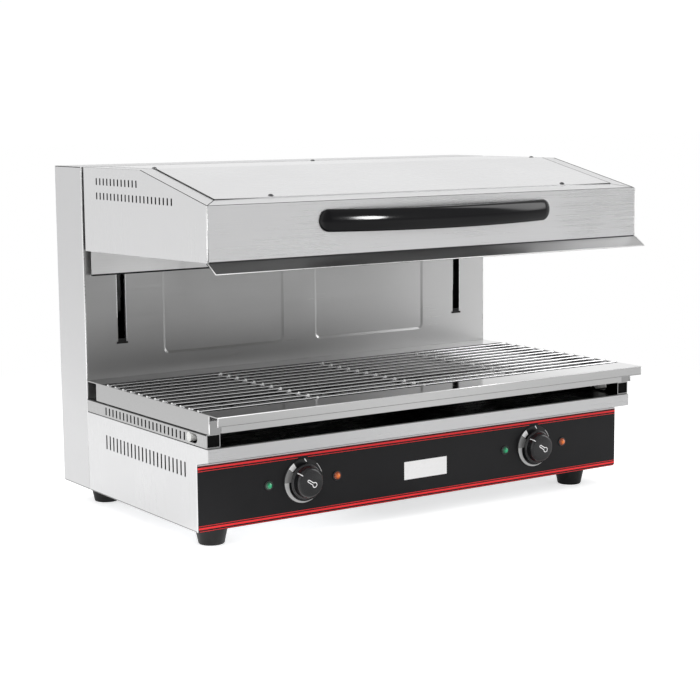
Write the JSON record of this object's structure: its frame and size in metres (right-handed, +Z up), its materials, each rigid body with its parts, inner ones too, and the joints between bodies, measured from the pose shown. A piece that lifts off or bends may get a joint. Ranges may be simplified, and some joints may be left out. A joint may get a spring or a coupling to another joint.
{
  "type": "cheese melter",
  "caption": "Electric cheese melter: a base with heat knobs, a pull-out drip tray with a wire rack, and a counterbalanced heated hood that slides up and down on a rear column.",
  "frame": {"origin": "middle of the footprint, on the surface the feet stand on", "axes": "+X to the user's right along the width, +Y backwards from the user to the column, +Z up"},
  "size_m": [0.8, 0.535, 0.5484],
  "materials": {
    "brushed_sheet": "brushed",
    "bright_sheet": "fine brushed, almost mirror bright",
    "galvanised": "dull galvanised",
    "panel_print": "satin printed film",
    "black_gloss": "gloss",
    "green_lens": "translucent gloss",
    "orange_lens": "translucent gloss",
    "regulator_body": "moulded",
    "rubber": "matte",
    "nylon": "satin",
    "plug_black": "satin",
    "steel_screws": "zinc plated",
    "gland_nylon": "satin",
    "polished_rod": "polished",
    "spring_steel": "oiled",
    "skirt_steel": "brushed, facing down",
    "element_sheath": "heat-blackened sheath",
    "carriage_block": "milled",
    "bush_brass": "sintered"
  },
  "bodies": {
    "machine": {"base_side_left": "brushed_sheet", "base_side_right": "brushed_sheet", "base_front": "brushed_sheet", "base_bottom": "galvanised", "deck_plate": "brushed_sheet", "control_panel": "panel_print", "dial_plates": "black_gloss", "green_lamps": "green_lens", "orange_lamps": "orange_lens", "lamp_bezels": "black_gloss", "regulators": "regulator_body", "terminal_block": "regulator_body", "feet": "rubber", "foot_nuts": "steel_screws", "runner_left": "brushed_sheet", "runner_right": "brushed_sheet", "glide_buttons": "nylon", "runner_pegs": "nylon", "runner_plugs": "plug_black", "column_shell": "brushed_sheet", "column_bottom": "galvanised", "back_cover": "galvanised", "back_screws": "steel_screws", "cable_gland": "gland_nylon", "slot_stops": "rubber", "guide_rods": "polished_rod", "rod_rail_top": "galvanised", "rod_rail_bottom": "galvanised", "balance_springs": "spring_steel"},
    "knob_left_body": {"knob_left": "black_gloss", "spindle_left": "steel_screws"},
    "knob_right_body": {"knob_right": "black_gloss", "spindle_right": "steel_screws"},
    "tray": {"drip_tray": "bright_sheet"},
    "rack": {"wire_rack": "polished_rod"},
    "hood": {"hood_shell": "brushed_sheet", "hood_lid": "bright_sheet", "lid_screws": "steel_screws", "hood_back": "brushed_sheet", "hood_floor": "brushed_sheet", "front_skirt": "skirt_steel", "handle": "black_gloss", "reflector": "bright_sheet", "element_left": "element_sheath", "element_right": "element_sheath", "element_hangers": "galvanised", "lift_arms": "galvanised", "arm_bolts": "steel_screws", "carriages": "carriage_block", "carriage_bushes": "bush_brass", "sync_bar": "galvanised"}
  },
  "joints": [
    {"name": "hood_lift", "type": "slide", "parent": "machine", "child": "hood", "axis": [0, 0, 1], "range_m": [-0.15, 0], "deforming": ["balance_springs"]},
    {"name": "tray_slide", "type": "slide", "parent": "machine", "child": "tray", "axis": [0, -1, 0], "range_m": [0, 0.4]},
    {"name": "rack_lift", "type": "slide", "parent": "tray", "child": "rack", "axis": [0, 0, 1], "range_m": [0, 0.035]},
    {"name": "knob_left_turn", "type": "hinge", "parent": "machine", "child": "knob_left_body", "pos_m": [-0.222, -0.2015, 0.087], "axis": [0, 1, 0], "range_deg": [-306, 0]},
    {"name": "knob_right_turn", "type": "hinge", "parent": "machine", "child": "knob_right_body", "pos_m": [0.222, -0.2015, 0.087], "axis": [0, 1, 0], "range_deg": [-306, 0]}
  ]
}
